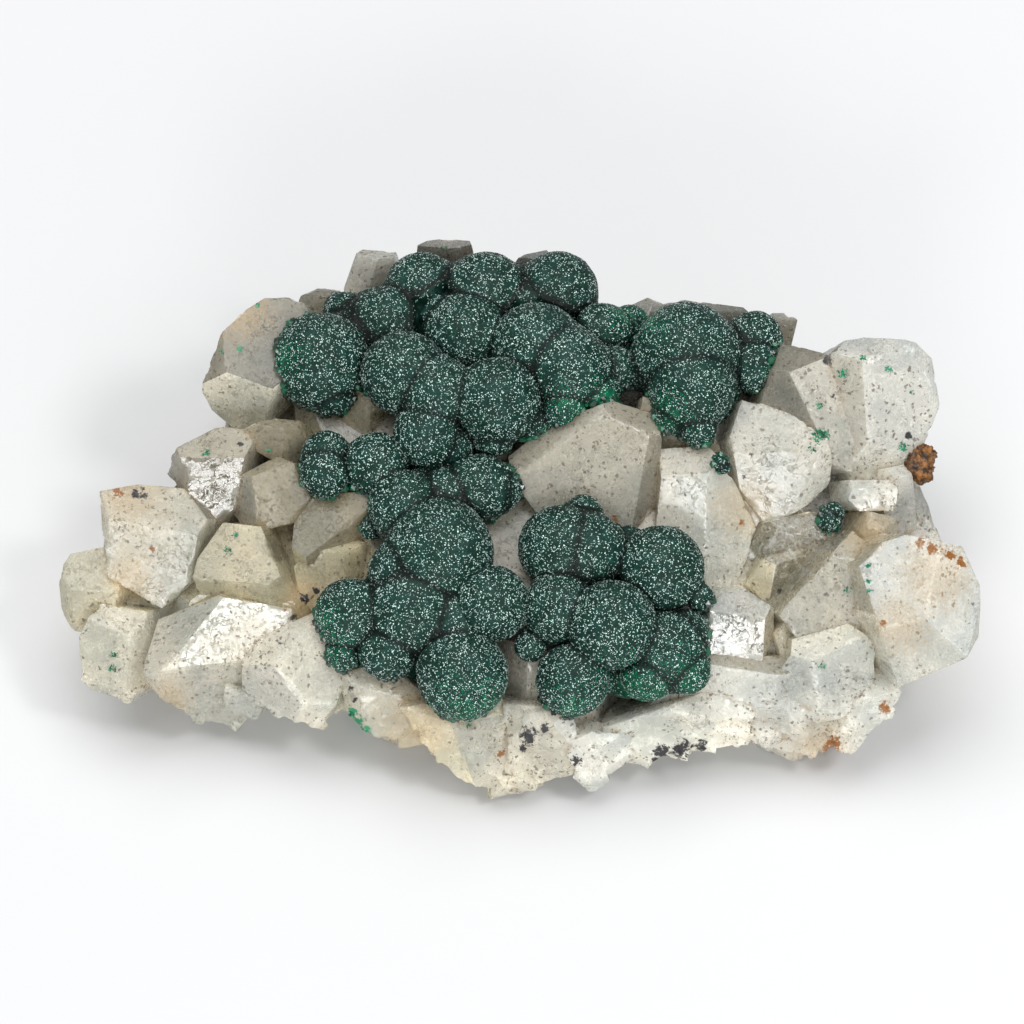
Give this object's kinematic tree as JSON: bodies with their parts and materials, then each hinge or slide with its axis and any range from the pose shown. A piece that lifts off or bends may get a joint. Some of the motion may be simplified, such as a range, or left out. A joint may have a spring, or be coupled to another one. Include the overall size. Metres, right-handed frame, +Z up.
{
  "type": "quartz crystal cluster",
  "caption": "Low cluster of stubby milky quartz crystals grown together, with crusts of round green malachite balls, cut off flat beneath so that it rests level.",
  "frame": {"origin": "middle of the whole specimen's box at the level of the flat cut beneath", "axes": "+X along the specimen's length to the right of the display face, +Y to the back, +Z up from the flat cut; the display face looks along -Y and up"},
  "size_m": [0.1202, 0.08, 0.0374],
  "materials": {
    "quartz": "glassy, milky",
    "malachite": "velvety, sparkling",
    "goethite": "dull, earthy"
  },
  "bodies": {
    "root": {"quartz_cluster": "quartz", "malachite_upper_mass": "malachite", "malachite_right_mass": "malachite", "malachite_middle_mass": "malachite", "malachite_middle_ball": "malachite", "malachite_lower_mass": "malachite", "malachite_nodule_right": "malachite", "malachite_nodule_prism": "malachite", "malachite_nodule_gap": "malachite", "goethite_patch": "goethite"}
  },
  "joints": []
}
